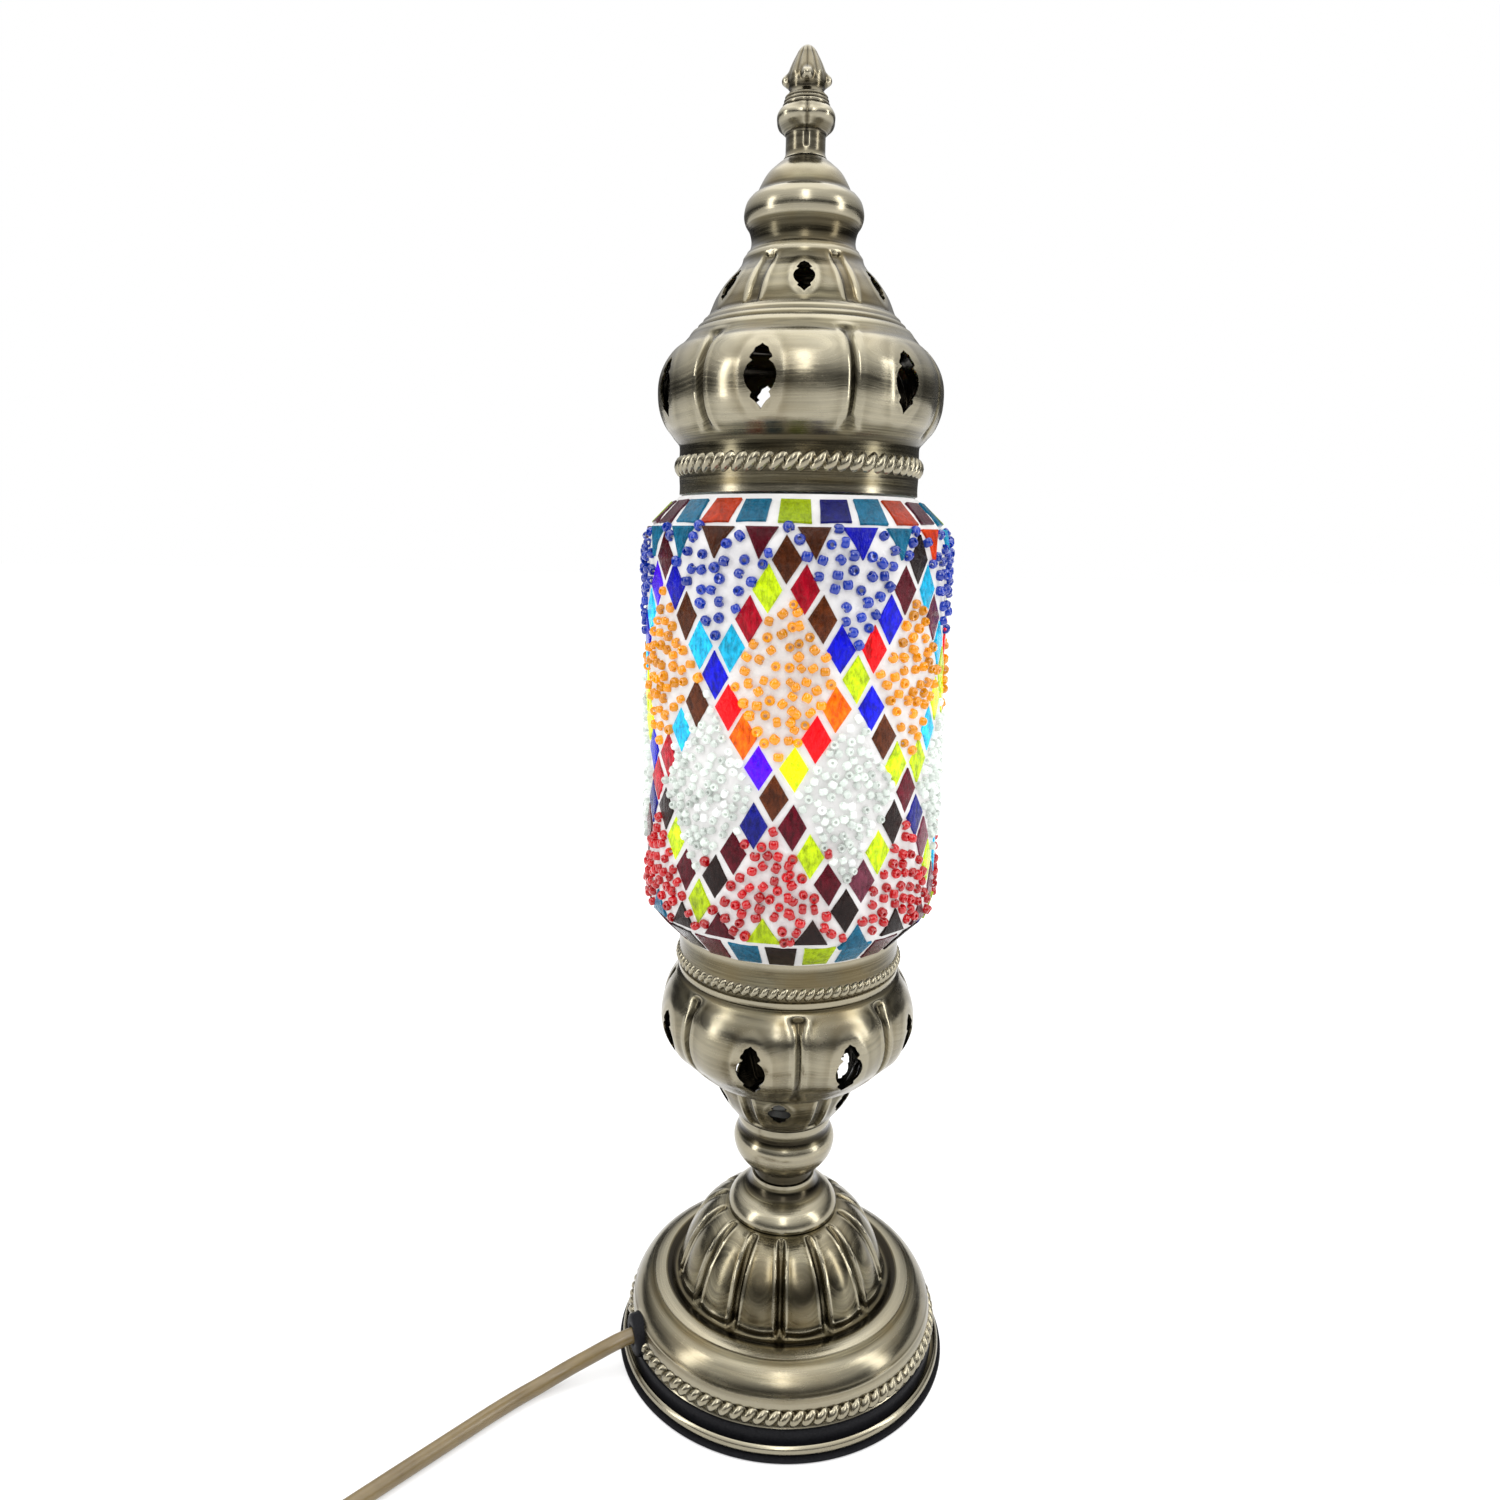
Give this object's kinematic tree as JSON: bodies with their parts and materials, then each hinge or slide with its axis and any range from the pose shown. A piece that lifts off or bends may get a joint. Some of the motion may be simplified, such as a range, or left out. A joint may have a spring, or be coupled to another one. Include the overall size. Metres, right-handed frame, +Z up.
{
  "type": "mosaic glass table lamp",
  "caption": "Table lamp with a mosaic glass cylinder between a lobed brass bowl and a lobed brass hood with a cast finial, on a turned neck and a fluted round base, with a switched cord and plug",
  "frame": {"origin": "the middle of the foot's underside, on the surface that the lamp stands on", "axes": "+Z up along the lamp's turning axis, -Y towards the front, +X to the right"},
  "size_m": [0.2311, 0.285, 0.473],
  "materials": {
    "antique_brass": "antiqued, brushed sideways, dark patina in the grooves",
    "plain_brass": "plain turned",
    "zinc_steel": "zinc plated",
    "black_iron": "black paint",
    "black_felt": "matt pad",
    "black_rubber": "smooth",
    "clear_glass": "clear, blown",
    "lit_bulb_glass": "lit warm white",
    "white_grout": "matt, slightly rough",
    "cut_glass": "coloured cut sheet glass, lit from behind",
    "bead_glass": "coloured glass seed beads",
    "gold_cord": "translucent vinyl",
    "gold_plastic": "moulded",
    "white_plastic": "moulded"
  },
  "bodies": {
    "stand": {"foot_pad": "black_felt", "base_pan": "antique_brass", "ballast_disc": "black_iron", "base_shell": "antique_brass", "base_washer": "zinc_steel", "base_jam_nut": "zinc_steel", "foot_nut": "zinc_steel", "cord_grommet": "black_rubber", "base_bell": "antique_brass", "neck_sleeve": "antique_brass", "neck_ball": "antique_brass", "threaded_rod": "zinc_steel", "bowl_shell": "antique_brass", "bowl_washer": "zinc_steel", "bowl_jam_nut": "zinc_steel", "seat_under_nut": "zinc_steel", "glass_seat_plate": "zinc_steel", "seat_nut": "zinc_steel", "holder_body": "white_plastic", "holder_insulator": "white_plastic", "holder_contact": "plain_brass", "holder_screw_shell": "plain_brass", "cord_to_switch": "gold_cord", "cord_to_coil": "gold_cord", "cord_to_plug": "gold_cord", "cord_coil": "gold_cord", "switch_base": "gold_plastic", "switch_cover": "gold_plastic", "plug_body": "gold_plastic", "plug_pin_left": "zinc_steel", "plug_pin_right": "zinc_steel", "inner_lead": "black_rubber"},
    "glass": {"mosaic_sleeve": "white_grout", "glass_vessel": "clear_glass"},
    "hood": {"hood_shell": "antique_brass", "finial_washer": "zinc_steel", "finial_nut": "zinc_steel"},
    "finial_knob": {"finial": "antique_brass"},
    "bulb": {"bulb_contact": "zinc_steel", "bulb_cap": "zinc_steel", "bulb_envelope": "lit_bulb_glass", "bulb_stem": "lit_bulb_glass"},
    "rocker": {"switch_rocker": "gold_plastic"}
  },
  "joints": [
    {"name": "glass_lift", "type": "slide", "parent": "stand", "child": "glass", "axis": [0, 0, 1], "range_m": [0, 0.12]},
    {"name": "hood_lift", "type": "slide", "parent": "glass", "child": "hood", "axis": [0, 0, 1], "range_m": [0, 0.06]},
    {"name": "finial_turn", "type": "hinge", "parent": "hood", "child": "finial_knob", "pos_m": [0, 0, 0.44], "axis": [0, 0, 1], "continuous": true},
    {"name": "bulb_turn", "type": "hinge", "parent": "stand", "child": "bulb", "pos_m": [0, 0, 0.2], "axis": [0, 0, 1], "continuous": true},
    {"name": "switch_rock", "type": "hinge", "parent": "stand", "child": "rocker", "pos_m": [-0.1526, -0.155, 0.0125], "axis": [1, 0, 0], "range_deg": [0, 10]}
  ]
}
